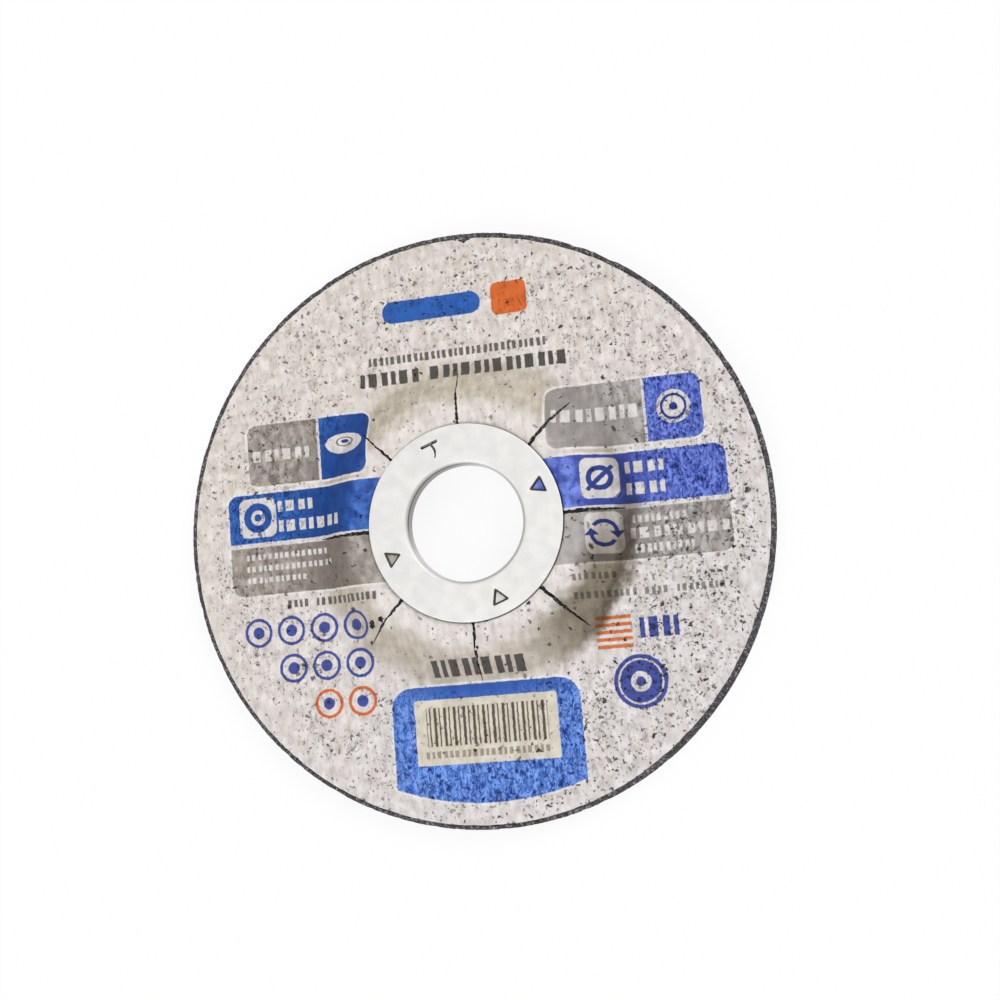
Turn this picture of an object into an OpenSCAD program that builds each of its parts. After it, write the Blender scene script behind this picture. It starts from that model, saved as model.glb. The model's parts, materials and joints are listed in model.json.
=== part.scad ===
// Depressed-centre cut-off wheel: a pressed abrasive disc with a raised hub, a slit paper label
// over its face and a stamped arbor ring that lines its bore.
// It lies on the back of its outer annulus, label up, with the bore axis along +Z through the origin.

/* [Wheel] */
// Outside diameter of the wheel
wheel_d = 115; // [100:1:150]
// Thickness of the wall, label included
wheel_t = 3; // [2:0.1:6]
// Height that the hub is raised above the outer annulus
hub_rise = 4.6; // [3:0.1:6]
// Diameter of the hub's flat top
hub_flat_d = 46; // [42:0.5:52]
// Steepness of the flank between the hub and the outer annulus
flank_angle = 40; // [25:1:50]
// Radius on the hollow side of the wall's two bends
bend_r = 1.5; // [0.5:0.1:3]

/* [Label] */
// Thickness of the paper label
label_t = 0.3; // [0.15:0.05:0.5]
// Width of bare abrasive between the label and the rim
label_margin = 1; // [0.5:0.1:4]
// Number of radial slits that let the flat paper climb the flank
slit_count = 8; // [4:1:12]
// Opening of the wide slits at the edge of the ring
wide_slit = 0.6; // [0.2:0.05:1]
// Opening of the narrow slits at the edge of the ring
narrow_slit = 0.35; // [0.1:0.05:0.6]
// Distance that the slits stop short of the foot of the flank
slit_stop = 0.5; // [0.2:0.1:3]
// Radius of the nick torn out of the label's edge
nick_r = 1; // [0.5:0.1:2]
// Angle of the nick from +X
nick_angle = 86.8; // [0:0.1:360]

/* [Arbor ring] */
// Diameter of the bore for the spindle
bore_d = 22.23; // [20:0.01:23]
// Outside diameter of the ring's flange
ring_d = 37.6; // [35:0.1:40]
// Thickness of the ring's sheet metal
ring_t = 0.5; // [0.3:0.05:0.8]
// Radius under the rolled lip, where the flange turns down into the collar
lip_inner_r = 0.4; // [0.2:0.05:0.8]
// Radius on the flange's outer top edge
flange_edge_r = 0.15; // [0.05:0.01:0.25]
// Distance that the collar stops short of the hub's back face
collar_setback = 0.2; // [0.05:0.05:1]
// Clearance between the collar and the hole that it lines
collar_gap = 0.05; // [0.02:0.01:0.2]

/* [Ring windows] */
// Number of triangular windows punched through the flange
window_count = 4; // [2:1:6]
// Side of a window, before its corners are rounded
window_side = 3; // [2:0.1:3.6]
// Radius of a window's corners
window_corner_r = 0.25; // [0.1:0.05:0.4]
// Diameter of the circle that the windows' centres lie on
window_pcd = 31.3; // [30:0.1:32]
// Angle of the first window from +X
window_angle = 20.25; // [0:0.25:80]
// Width of the cut that frees the torn slug's outer side
slug_gap = 0.3; // [0.15:0.05:0.6]
// Radius of the torn slug's free edge
slug_edge_r = 2.4; // [1.5:0.1:5]
// Distance that the torn slug reaches past its window's centre line
slug_reach = 0.2; // [0:0.05:0.5]

/* [Hidden] */
$fn = 128;
// Straight steps in each bend of an outline
arc_steps = 8;
// How far a cutter runs past the faces that it cuts
overcut = 1;
wheel_r = wheel_d / 2;
disc_t = wheel_t - label_t;
label_r = wheel_r - label_margin;
hub_top = hub_rise + wheel_t;
hub_flat_r = hub_flat_d / 2;
// Both bends are tangent to one straight flank, which sets how far out the foot lies
bend_sum = 2 * bend_r + wheel_t;
flank_run = (bend_sum * (1 - cos(flank_angle)) + hub_rise * cos(flank_angle)) / sin(flank_angle);
foot_r = hub_flat_r + flank_run;
hub_bend_centre = [hub_flat_r, hub_rise - bend_r];
foot_bend_centre = [foot_r, wheel_t + bend_r];
bore_r = bore_d / 2;
ring_r = ring_d / 2;
ring_top = hub_top + ring_t;
lip_r = lip_inner_r + ring_t;
collar_r = bore_r + ring_t;
collar_end = hub_rise + collar_setback;
hole_r = collar_r + collar_gap;
slit_end_r = foot_r - slit_stop;
// The slits, counted from +X, that opened wide when the label was pressed
wide_slits = [0, 1, 4, 7];
// An equilateral window points at the bore, and its outer side lies square to that line
window_circum_r = window_side / sqrt(3);
window_outer_side = window_circum_r / 2;
window_mid_height = (window_outer_side - window_circum_r) / 2;
// The window whose slug is still half attached
slug_window = 1;

// Points of an arc in the outline's plane, from one angle to another
function arc(centre, r, from, to) = [
    for (i = [0:arc_steps])
        let (a = from + (to - from) * i / arc_steps)
            centre + r * [cos(a), sin(a)]
];

function reversed(points) = [for (i = [len(points) - 1:-1:0]) points[i]];

// The wall's line at a height above its back face, from the hub's flat, down the flank, to the foot
function wall_line(height) = concat(
    arc(hub_bend_centre, bend_r + height, 90, 90 - flank_angle),
    arc(foot_bend_centre, bend_r + wheel_t - height, 270 - flank_angle, 270)
);

// A dished layer of the wall between two heights above its back face
module dished_layer(low, high, outer_r) {
    rotate_extrude()
        polygon(concat(
            [[0, hub_rise + low]],
            wall_line(low),
            [[outer_r, low], [outer_r, high]],
            reversed(wall_line(high)),
            [[0, hub_rise + high]]
        ));
}

// The hole through label and disc, eased at the top to clear the rolled lip
module hub_hole() {
    rotate_extrude()
        polygon([
            [0, hub_rise - overcut],
            [hole_r, hub_rise - overcut],
            [hole_r, hub_top - lip_inner_r],
            [hole_r + lip_inner_r, hub_top],
            [hole_r + lip_inner_r, hub_top + overcut],
            [0, hub_top + overcut]
        ]);
}

// A slit that gapes at the hub and closes to nothing on the flank
module label_slit(opening) {
    half_angle_rise = opening / 2 / (slit_end_r - ring_r);
    linear_extrude(hub_top + overcut)
        polygon([
            [0, -slit_end_r * half_angle_rise],
            [slit_end_r, 0],
            [0, slit_end_r * half_angle_rise]
        ]);
}

// A punched triangle with rounded corners, its point towards the bore
module window_outline() {
    polygon([
        for (corner = [180, 300, 420])
            each arc(
                (window_circum_r - 2 * window_corner_r) * [cos(corner), sin(corner)],
                window_corner_r, corner - 60, corner + 60
            )
    ]);
}

// What is left in a window where the punched slug tore and stayed on along one side
module torn_slug() {
    intersection() {
        translate([window_outer_side - slug_gap - window_side, -window_side])
            square([window_side, 2 * window_side]);
        translate([window_mid_height, slug_edge_r - slug_reach])
            circle(slug_edge_r);
    }
}

module abrasive_disc() {
    color("#4a484a")
        difference() {
            dished_layer(0, disc_t, wheel_r);
            hub_hole();
        }
}

module paper_label() {
    color("#dedbd6")
        difference() {
            dished_layer(disc_t, wheel_t, label_r);
            hub_hole();
            for (i = [0:slit_count - 1])
                rotate(i * 360 / slit_count)
                    label_slit(len(search(i, wide_slits)) > 0 ? wide_slit : narrow_slit);
            rotate(nick_angle)
                translate([label_r, 0, 0])
                    cylinder(h = wheel_t + overcut, r = nick_r);
        }
}

module arbor_ring() {
    color("#f0efed")
        difference() {
            rotate_extrude()
                polygon(concat(
                    [[bore_r, collar_end], [collar_r, collar_end]],
                    arc([bore_r + lip_r, ring_top - lip_r], lip_inner_r, 180, 90),
                    [[ring_r, hub_top]],
                    arc([ring_r - flange_edge_r, ring_top - flange_edge_r], flange_edge_r, 0, 90),
                    arc([bore_r + lip_r, ring_top - lip_r], lip_r, 90, 180)
                ));
            for (i = [0:window_count - 1])
                rotate(window_angle + i * 360 / window_count)
                    translate([window_pcd / 2, 0, hub_top - overcut])
                        linear_extrude(ring_t + 2 * overcut)
                            difference() {
                                window_outline();
                                if (i == slug_window) torn_slug();
                            }
        }
}

abrasive_disc();
paper_label();
arbor_ring();
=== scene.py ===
# %% [markdown]
# # A depressed-centre cut-off wheel
# This lesson dresses a 115 mm metal-cutting wheel: a dark disc of grit and resin, a printed paper label
# pressed over its face, and a pale stamped ring that lines the bore. The CAD model gives every size and
# place. Each piece is turned again here with enough rings to carry the roughness that the real one has,
# so the solids stay as the true form and the new skins only add what the eye sees.

# %% Load the frame
import json
import math
import random
import bmesh
import bpy
from mathutils import Matrix, Vector, noise


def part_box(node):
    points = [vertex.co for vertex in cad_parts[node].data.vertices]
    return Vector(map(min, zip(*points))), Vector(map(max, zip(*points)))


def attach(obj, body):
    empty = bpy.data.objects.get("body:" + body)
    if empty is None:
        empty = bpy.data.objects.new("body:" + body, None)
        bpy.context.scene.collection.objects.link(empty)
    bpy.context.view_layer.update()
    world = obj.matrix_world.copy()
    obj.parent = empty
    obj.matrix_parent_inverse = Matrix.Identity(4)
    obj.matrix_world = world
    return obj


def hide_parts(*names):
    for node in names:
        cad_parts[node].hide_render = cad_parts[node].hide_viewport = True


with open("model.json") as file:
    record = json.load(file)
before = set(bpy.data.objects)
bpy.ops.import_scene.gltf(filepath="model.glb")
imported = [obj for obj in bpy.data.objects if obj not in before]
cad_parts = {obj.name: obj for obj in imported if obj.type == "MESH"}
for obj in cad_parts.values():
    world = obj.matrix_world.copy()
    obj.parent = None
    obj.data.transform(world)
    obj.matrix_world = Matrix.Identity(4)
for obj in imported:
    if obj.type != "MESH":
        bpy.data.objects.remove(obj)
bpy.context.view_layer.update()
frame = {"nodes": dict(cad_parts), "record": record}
print("nodes:", sorted(frame["nodes"]))

# %% [markdown]
# ## Sizes
# Everything is in metres, so a millimetre has a name. Sizes that the CAD model already holds are read
# from its boxes and mounts. The CAD mesh's round edge reaches a little less far on one side, so the
# smaller reach is the wheel's radius. The few sizes that a box can't give, such as the steepness of the
# flank, are written once further down.

# %% Read the sizes
MM = 0.001
disc_low, disc_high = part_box("abrasive_disc")
label_low, label_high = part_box("paper_label")
ring_low, ring_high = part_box("arbor_ring")
mounts = {mount["name"]: mount for mount in frame["record"]["mounts"]}
wheel_r = min(-disc_low.x, disc_high.x)
label_r = label_high.x
ring_r = ring_high.x
bore_r = mounts["arbor_bore"]["dims"]["r_mm"] * MM
hub_top = label_high.z
ring_top = ring_high.z
collar_end = ring_low.z
disc_t = label_low.z
label_t = hub_top - disc_high.z
wheel_t = disc_t + label_t
hub_rise = hub_top - wheel_t
ring_t = ring_top - hub_top
print(f"wheel radius {wheel_r / MM:.2f}, wall {wheel_t / MM:.2f}, hub raised {hub_rise / MM:.2f} mm")

# %% [markdown]
# ## The wall's line
# The wheel was pressed in a mould, so its wall is one dished line: a flat hub, a bend, a straight flank,
# a second bend and a flat annulus. Only the two sharp corners of that line are worked out, for any
# height above the back, and a vertex bevel rounds them later.

# %% Find the wall's corners
HUB_FLAT_R = 23 * MM
FLANK_ANGLE = math.radians(40)
BEND_R = 1.5 * MM
lean = math.tan(FLANK_ANGLE / 2)
bend_sum = 2 * BEND_R + wheel_t
bend_share = bend_sum * (1 - math.cos(FLANK_ANGLE))
flank_run = (bend_share + hub_rise * math.cos(FLANK_ANGLE)) / math.sin(FLANK_ANGLE)
foot_r = HUB_FLAT_R + flank_run


def wall_corners(height):
    """The wall's sharp hub and foot corners at a height above its back, each with its bend's radius."""
    hub_bend = BEND_R + height
    foot_bend = BEND_R + wheel_t - height
    return [
        (HUB_FLAT_R + hub_bend * lean, hub_rise + height, hub_bend),
        (foot_r - foot_bend * lean, height, foot_bend),
    ]


print(f"foot of the flank at radius {foot_r / MM:.2f} mm")

# %% [markdown]
# ## The camera
# The photograph looks down on the label from a little to the right and below, with a standard lens and a
# small roll. The place and aim were found from the rim, the label's edge and the ring, whose real
# diameters are known. Three axes, made from the line of sight and the label's up, turn the camera.

# %% Place the camera
CAMERA_PLACE = Vector((56.1, -25.9, 246.0)) * MM
CAMERA_AIM = Vector((6.12, 4.07, 3.0)) * MM
CAMERA_ROLL = math.radians(-4.77)
CAMERA_LENS = 47.05
SENSOR_WIDTH = 36

lens = bpy.data.cameras.new("photo_camera")
lens.lens = CAMERA_LENS
lens.sensor_width = SENSOR_WIDTH
lens.clip_start = 10 * MM
camera = bpy.data.objects.new("photo_camera", lens)
bpy.context.scene.collection.objects.link(camera)
view_line = CAMERA_AIM - CAMERA_PLACE
back_axis = -view_line.normalized()
right_axis = Vector((0, 1, 0)).cross(back_axis).normalized()
up_axis = back_axis.cross(right_axis)
aimed = Matrix((right_axis, up_axis, back_axis)).transposed().to_4x4()
camera.matrix_world = Matrix.Translation(CAMERA_PLACE) @ aimed @ Matrix.Rotation(CAMERA_ROLL, 4, "Z")
bpy.context.scene.camera = camera
bpy.context.scene.view_settings.view_transform = "Standard"
print(f"camera {view_line.length / MM:.0f} mm from its aim")

# %% [markdown]
# ## Turning a piece
# All three pieces are round, so all three are turned: a few vertices are joined into a line, a vertex
# bevel rounds its corners, subdivision gives it as many points as its roughness needs, and a full turn
# closes it. Every line carries a weight on its vertices, which the turn copies, so that a later step
# knows which skin to roughen.

# %% Helpers that turn a piece
BEND_SEGMENTS = 8
SLICES = 8
SEAM = 0.001 * MM


def draw_line(section, points, skin_kind):
    """Draws a line of (radius, height, bend radius) points, rounds its corners and marks its skin."""
    skin = section.verts.layers.float["skin"]
    verts = [section.verts.new((r, 0, z)) for r, z, _ in points]
    for pair in zip(verts, verts[1:]):
        section.edges.new(pair)
    for vert, (_, _, bend) in zip(verts[1:-1], points[1:-1]):
        if bend:
            before, after = (edge.other_vert(vert).co - vert.co for edge in vert.link_edges)
            bmesh.ops.bevel(
                section, geom=[vert], offset=bend * math.tan((math.pi - before.angle(after)) / 2),
                offset_type="OFFSET", affect="VERTICES", segments=BEND_SEGMENTS, profile=0.5, material=-1,
            )
    for vert in section.verts:
        vert[skin] = vert[skin] or skin_kind


def refine(section, spacings):
    """Splits edges until none is longer than its skin's spacing. Each split renews the list of edges."""
    skin = section.verts.layers.float["skin"]
    too_long = True
    while too_long:
        too_long = None
        for edge in section.edges:
            spacing = spacings[round(edge.verts[0][skin])]
            if edge.calc_length() > spacing:
                too_long = edge
                cuts = int(edge.calc_length() / spacing)
                bmesh.ops.subdivide_edges(section, edges=[edge], cuts=cuts)
                break
    bmesh.ops.remove_doubles(section, verts=section.verts, dist=SEAM)


def turn(section, columns):
    """Spins an eighth of a turn and doubles it three times, which is far quicker than one long spin."""
    bmesh.ops.spin(
        section, geom=section.verts[:] + section.edges[:], cent=(0, 0, 0), axis=(0, 0, 1),
        angle=math.tau / SLICES, steps=columns // SLICES, use_merge=False,
    )
    share = SLICES
    while share > 1:
        copied = bmesh.ops.duplicate(section, geom=section.verts[:] + section.edges[:] + section.faces[:])
        verts = [part for part in copied["geom"] if isinstance(part, bmesh.types.BMVert)]
        step = Matrix.Rotation(math.tau / share, 3, "Z")
        bmesh.ops.rotate(section, verts=verts, cent=(0, 0, 0), matrix=step)
        share //= 2
    bmesh.ops.remove_doubles(section, verts=section.verts, dist=SEAM)
    bmesh.ops.recalc_face_normals(section, faces=section.faces)


def new_section():
    """An empty section whose vertices can carry a skin weight."""
    section = bmesh.new()
    section.verts.layers.float.new("skin")
    return section


print("turning helpers ready")

# %% Helpers that make an object and cut it
SHARP_ANGLE = math.radians(40)


def extrude_up(mesh, faces, height):
    """Extrudes flat faces upwards into a closed prism."""
    raised = bmesh.ops.extrude_face_region(mesh, geom=faces)
    lifted = [part for part in raised["geom"] if isinstance(part, bmesh.types.BMVert)]
    bmesh.ops.translate(mesh, verts=lifted, vec=(0, 0, height))


def to_object(mesh, name, sharp_angle=SHARP_ANGLE):
    """Makes a smooth-shaded object of a bmesh, with sharp edges where it turns by more than an angle."""
    data = bpy.data.meshes.new(name)
    mesh.to_mesh(data)
    mesh.free()
    data.shade_smooth()
    data.set_sharp_from_angle(angle=sharp_angle)
    piece = bpy.data.objects.new(name, data)
    bpy.context.scene.collection.objects.link(piece)
    return piece


def cut(piece, cutter, operation="DIFFERENCE"):
    """Applies a boolean between two closed pieces, marks the new sharp edges and removes the cutter."""
    boolean = piece.modifiers.new("cut", "BOOLEAN")
    boolean.operation = operation
    boolean.solver = "MANIFOLD"
    boolean.object = cutter
    bpy.context.view_layer.update()
    evaluated = piece.evaluated_get(bpy.context.evaluated_depsgraph_get())
    whole = piece.data
    piece.data = bpy.data.meshes.new_from_object(evaluated)
    piece.modifiers.clear()
    piece.data.materials.clear()
    piece.data.set_sharp_from_angle(angle=SHARP_ANGLE)
    bpy.data.meshes.remove(whole)
    bpy.data.objects.remove(cutter)


print("object helpers ready")

# %% [markdown]
# ## The abrasive disc
# The body is corundum grit in dark resin, moulded over discs of glass-fibre mesh. Its rim was trued with
# a dresser, so single grains stand out of it, and its back shows the mesh as a shallow weave. Both are
# real shape here: rim points are pushed inwards by a cell pattern and by shallow chips, and back points
# sink between the strands. A single grain is too fine for the mesh, so the cells are as wide as clumps of
# grains. Nothing is pushed outwards, so the wheel keeps its true size.

# %% Turn the disc
DISC_COLUMNS = 720
BACK_SKIN, RIM_SKIN, HIDDEN_SKIN = 1, 2, 3
DISC_SPACINGS = {BACK_SKIN: 0.65 * MM, RIM_SKIN: 0.24 * MM, HIDDEN_SKIN: 3 * MM}
COLLAR_GAP = 0.05 * MM
EASE = 0.4 * MM
RIM_EDGE_R = 0.1 * MM
BARE_INSET = 1.0 * MM
collar_r = bore_r + ring_t
hole_r = collar_r + COLLAR_GAP
bare_r = label_r - BARE_INSET

disc = new_section()
hub_hidden, foot_hidden = wall_corners(disc_t)
hub_back, foot_back = wall_corners(0)
back_edge = (wheel_r - RIM_EDGE_R, 0, 0)
bare_edge = (bare_r, disc_t, 0)
hole_foot = (hole_r, hub_rise, 0)
hole_top = (hole_r, hub_rise + disc_t, 0)
draw_line(disc, [hole_foot, hub_back, foot_back, back_edge], BACK_SKIN)
draw_line(disc, [
    back_edge, (wheel_r, RIM_EDGE_R, 0), (wheel_r, disc_t - RIM_EDGE_R, 0),
    (wheel_r - RIM_EDGE_R, disc_t, 0), bare_edge,
], RIM_SKIN)
draw_line(disc, [bare_edge, foot_hidden, hub_hidden, hole_top, hole_foot], HIDDEN_SKIN)
refine(disc, DISC_SPACINGS)
turn(disc, DISC_COLUMNS)
print(f"disc: {len(disc.verts)} points, {len(disc.faces)} faces")

# %% Roughen the rim and press the weave into the back
GRAIN = 0.75 * MM
GRAIN_DEPTH = 0.11 * MM
CHIP = 2.6 * MM
CHIP_DEPTH = 0.32 * MM
CHIP_FROM = 0.1
STRAND_PITCH = 4.2 * MM
STRAND_DEPTH = 0.13 * MM
STRAND_ROUNDNESS = 0.7
WEAVE_LIFT = 0.35
WEAVE_FADE = 2 * MM
BACK_GRAIN_SHARE, TOP_GRAIN_SHARE = 0.3, 0.6
DISC_SHARP_ANGLE = math.radians(80)


def grain_depth(place):
    """Depth of the rough surface at a place: shallow in the middle of a grain, deep between grains."""
    distances, _ = noise.voronoi(place / GRAIN)
    return GRAIN_DEPTH * min(1, distances[0]) ** 2


def weave_height(x, y):
    """Height of a plain weave, from 0 in an opening to 1 on top of a strand that crosses over."""
    across, along = x / STRAND_PITCH, y / STRAND_PITCH
    over = math.cos(math.pi * round(across)) * math.cos(math.pi * round(along))
    warp = max(0, math.cos(math.tau * across)) ** STRAND_ROUNDNESS * (1 - WEAVE_LIFT * (1 - over) / 2)
    weft = max(0, math.cos(math.tau * along)) ** STRAND_ROUNDNESS * (1 - WEAVE_LIFT * (1 + over) / 2)
    return max(warp, weft)


skin = disc.verts.layers.float["skin"]
strand = disc.verts.layers.float.new("strand")
for vert in disc.verts:
    place = vert.co.copy()
    kind = round(vert[skin])
    if kind == BACK_SKIN:
        height = weave_height(place.x, place.y)
        vert[strand] = height
        fade = min(1, (wheel_r - place.xy.length) / WEAVE_FADE)
        vert.co.z += STRAND_DEPTH * (1 - height) * fade + BACK_GRAIN_SHARE * grain_depth(place)
    elif kind == RIM_SKIN and place.xy.length > bare_r + SEAM:
        inward = -place.normalized()
        inward.z = 0
        depth = grain_depth(place)
        chipped = CHIP_DEPTH * max(0, noise.noise(place / CHIP) - CHIP_FROM)
        vert.co += inward.normalized() * (depth + chipped)
        if place.z > disc_t / 2:
            vert.co.z -= TOP_GRAIN_SHARE * depth
abrasive_disc = to_object(disc, "abrasive_body", DISC_SHARP_ANGLE)
print(f"grains {GRAIN / MM:.2f} mm wide, strands every {STRAND_PITCH / MM:.1f} mm")

# %% [markdown]
# ## The paper label
# The label went into the press with the mix, so the grit and the mesh under it stand out as a soft,
# streaky relief, and eight slits let the flat paper climb the flank. The relief is sculpted on a fine
# turned skin with noise that is drawn out along the mesh's two directions. Its height is kept on the
# vertices, because painted shade darkens the paper where it sank. The hub and the flank carry less grit,
# so their paper is smoother. The label's outer part sits a little low of the wheel's centre, and its
# edge was trimmed shorter on the lower right, where the bare rim is widest.

# %% Turn the label
LABEL_COLUMNS = 640
TOP_SKIN, UNDER_SKIN = 1, 2
LABEL_SPACINGS = {TOP_SKIN: 0.4 * MM, UNDER_SKIN: 4 * MM}
RING_COVER = 0.4 * MM

label = new_section()
hub_face, foot_face = wall_corners(wheel_t)
cover_edge = (ring_r - RING_COVER, hub_top, 0)
outer_edge = (label_r, wheel_t, 0)
draw_line(label, [cover_edge, hub_face, foot_face, outer_edge], TOP_SKIN)
draw_line(label, [
    outer_edge, (label_r, disc_t, 0), foot_hidden, hub_hidden,
    (hole_r, disc_high.z, 0), (hole_r + EASE, hub_top, 0), cover_edge,
], UNDER_SKIN)
refine(label, LABEL_SPACINGS)
turn(label, LABEL_COLUMNS)
print(f"label: {len(label.verts)} points, {len(label.faces)} faces")

# %% Sculpt the paper's relief
RELIEF = 0.12 * MM
BLOTCH = 1.9 * MM
STREAK_LONG = 3.2 * MM
STREAK_WIDE = 0.95 * MM
BLOTCH_SHARE, ALONG_SHARE, ACROSS_SHARE = 0.8, 0.6, 0.9
ALONG_LAYER, ACROSS_LAYER = 7.3, 3.1
MESH_EDGE_R = 52.5 * MM
MESH_EDGE_RISE = 0.05 * MM
MESH_EDGE_WIDTH = 0.7 * MM
TEAR, TEAR_SIZE = 0.2 * MM, 2.4 * MM
LABEL_SHIFT = 0.12 * MM
LABEL_SHIFT_ANGLE = math.radians(257)
DIP_ANGLE = math.radians(318)
DIP_WIDTH = math.radians(24)
DIP_DEPTH = 0.3 * MM
SMOOTH_SHARE = 0.45
ROUGH_FROM_R = 34 * MM
SMOOTH_EDGE = 4 * MM
EDGE_FADE = 1 * MM
LABEL_SHIFT_FROM_R = 50 * MM
label_shift = LABEL_SHIFT * Vector((math.cos(LABEL_SHIFT_ANGLE), math.sin(LABEL_SHIFT_ANGLE)))
dip_line = Vector((math.cos(DIP_ANGLE), math.sin(DIP_ANGLE)))


def paper_height(place):
    """The relief at a place, in shares of its height: blotches, and streaks along X and along Y."""
    flat = Vector((place.x, place.y, 0))
    blotch = noise.noise(flat / BLOTCH)
    along = noise.noise(Vector((place.x / STREAK_LONG, place.y / STREAK_WIDE, ALONG_LAYER)))
    across = noise.noise(Vector((place.x / STREAK_WIDE, place.y / STREAK_LONG, ACROSS_LAYER)))
    return BLOTCH_SHARE * blotch + ALONG_SHARE * along + ACROSS_SHARE * across


skin = label.verts.layers.float["skin"]
relief = label.verts.layers.float.new("relief")
for vert in label.verts:
    place = vert.co.copy()
    r = place.xy.length
    if r > label_r - SEAM:
        ragged = TEAR * abs(noise.noise(place / TEAR_SIZE))
        off_dip = place.xy.angle(dip_line) / DIP_WIDTH
        vert.co.xy *= 1 - (ragged + DIP_DEPTH * math.exp(-off_dip ** 2)) / r
    shift_share = max(0, (r - LABEL_SHIFT_FROM_R) / (label_r - LABEL_SHIFT_FROM_R))
    vert.co.xy += shift_share * label_shift
    if round(vert[skin]) != TOP_SKIN or r < ring_r:
        continue
    height = paper_height(place)
    vert[relief] = height
    edge_fade = min(1, (label_r - r) / EDGE_FADE, (r - ring_r) / EDGE_FADE)
    rough = min(1, (r - HUB_FLAT_R) / (ROUGH_FROM_R - HUB_FLAT_R), (label_r - r) / SMOOTH_EDGE)
    mesh_edge = MESH_EDGE_RISE * math.exp(-((r - MESH_EDGE_R) / MESH_EDGE_WIDTH) ** 2)
    vert.co.z += (RELIEF * max(SMOOTH_SHARE, rough) * height + mesh_edge) * max(0, edge_fade)
paper_label = to_object(label, "printed_label")
print(f"relief {RELIEF / MM:.3f} mm high in blotches of {BLOTCH / MM:.1f} mm")

# %% Cutters for the label
SLIT_STEPS = 40
SLIT_TAPER = 0.42
SLIT_OVERRUN = 1 * MM
SLIT_RAGGED, RAGGED_FROM, RAGGED_TO = 0.17 * MM, -0.6, 1
RAGGED_TAPER = 4
LEAST_OPENING = 0.02 * MM
HOLE_SEGMENTS = 14
CUTTER_HEIGHT = 2 * hub_top


def add_slit(cutter, angle, opening, end_r):
    """Adds a wedge that gapes at the hub and closes on the flank, with torn sides."""
    strip = bmesh.ops.create_grid(cutter, x_segments=SLIT_STEPS, y_segments=1, size=0.5)["verts"]
    start_r = hole_r - SLIT_OVERRUN
    for vert in strip:
        share = vert.co.x + 0.5
        side = math.copysign(1, vert.co.y)
        r = start_r + share * (end_r - start_r)
        half = opening / 2 * ((end_r - r) / (end_r - ring_r)) ** SLIT_TAPER
        torn = SLIT_RAGGED * random.uniform(RAGGED_FROM, RAGGED_TO) * min(1, RAGGED_TAPER * (1 - share))
        vert.co = (r, side * max(LEAST_OPENING, half + torn), 0)
    bmesh.ops.rotate(cutter, verts=strip, cent=(0, 0, 0), matrix=Matrix.Rotation(angle, 3, "Z"))
    extrude_up(cutter, list({face for vert in strip for face in vert.link_faces}), CUTTER_HEIGHT)


def add_hole(cutter, x, y, radius, ragged):
    """Adds a round cutter with a ragged edge."""
    rim = bmesh.ops.create_circle(cutter, cap_ends=True, radius=radius, segments=HOLE_SEGMENTS)["verts"]
    for vert in rim:
        vert.co *= 1 + ragged * random.uniform(-1, 1)
    bmesh.ops.translate(cutter, verts=rim, vec=(x, y, 0))
    extrude_up(cutter, list({face for vert in rim for face in vert.link_faces}), CUTTER_HEIGHT)


print(f"slit sides torn by up to {SLIT_RAGGED / MM:.2f} mm")

# %% Cut the slits, the nick and the torn spots
random.seed(115)
SLIT_COUNT = 8
SLIT_STOP = 0.5 * MM
WIDE_SLIT, NARROW_SLIT = 0.7 * MM, 0.48 * MM
WIDE_SLITS = {0, 1, 4, 7}
SHORT_SLIT, SHORT_BY = 3, 2.2 * MM
NICK_R, NICK_OUT = 1.35 * MM, 0.35 * MM
NICK_ANGLE = math.radians(86.8)
NICK_RAGGED, SPOT_RAGGED = 0.2, 0.35
# Across, up and radius of each torn spot in millimetres
TORN_SPOTS = [(-20.2, -17.5, 0.75), (-17.9, -16.7, 0.55), (0.3, -23.6, 0.4), (-21.2, -20.9, 0.4)]
slit_end_r = foot_r - SLIT_STOP
nick_orbit_r = label_r + NICK_OUT

cutter = bmesh.new()
for index in range(SLIT_COUNT):
    opening = WIDE_SLIT if index in WIDE_SLITS else NARROW_SLIT
    end_r = slit_end_r - SHORT_BY if index == SHORT_SLIT else slit_end_r
    add_slit(cutter, index * math.tau / SLIT_COUNT, opening, end_r)
nick_x, nick_y = nick_orbit_r * math.cos(NICK_ANGLE), nick_orbit_r * math.sin(NICK_ANGLE)
add_hole(cutter, nick_x, nick_y, NICK_R, NICK_RAGGED)
for x, y, radius in TORN_SPOTS:
    add_hole(cutter, x * MM, y * MM, radius * MM, SPOT_RAGGED)
bmesh.ops.recalc_face_normals(cutter, faces=cutter.faces)
cut(paper_label, to_object(cutter, "label_cutter"))
print(f"label after the cuts: {len(paper_label.data.polygons)} faces")

# %% [markdown]
# ## The arbor ring
# The ring is stamped from thin tinned sheet: its inner edge is rolled down into a collar that lines the
# bore, and four small triangles are punched through it. The punch drew the sheet down with it, so the
# sides of each window slope. One triangle only tore, along its outer side and along a curve to its
# point, and both flaps stayed in place. The section is turned, and the punches are cut as rounded
# prisms that narrow downwards.

# %% Turn the ring
RING_COLUMNS = 288
RING_SKIN = 1
RING_SPACINGS = {RING_SKIN: 0.9 * MM}
LIP_INNER_R = 0.4 * MM
LIP_R = LIP_INNER_R + ring_t
RING_EDGE_R = 0.15 * MM

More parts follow.
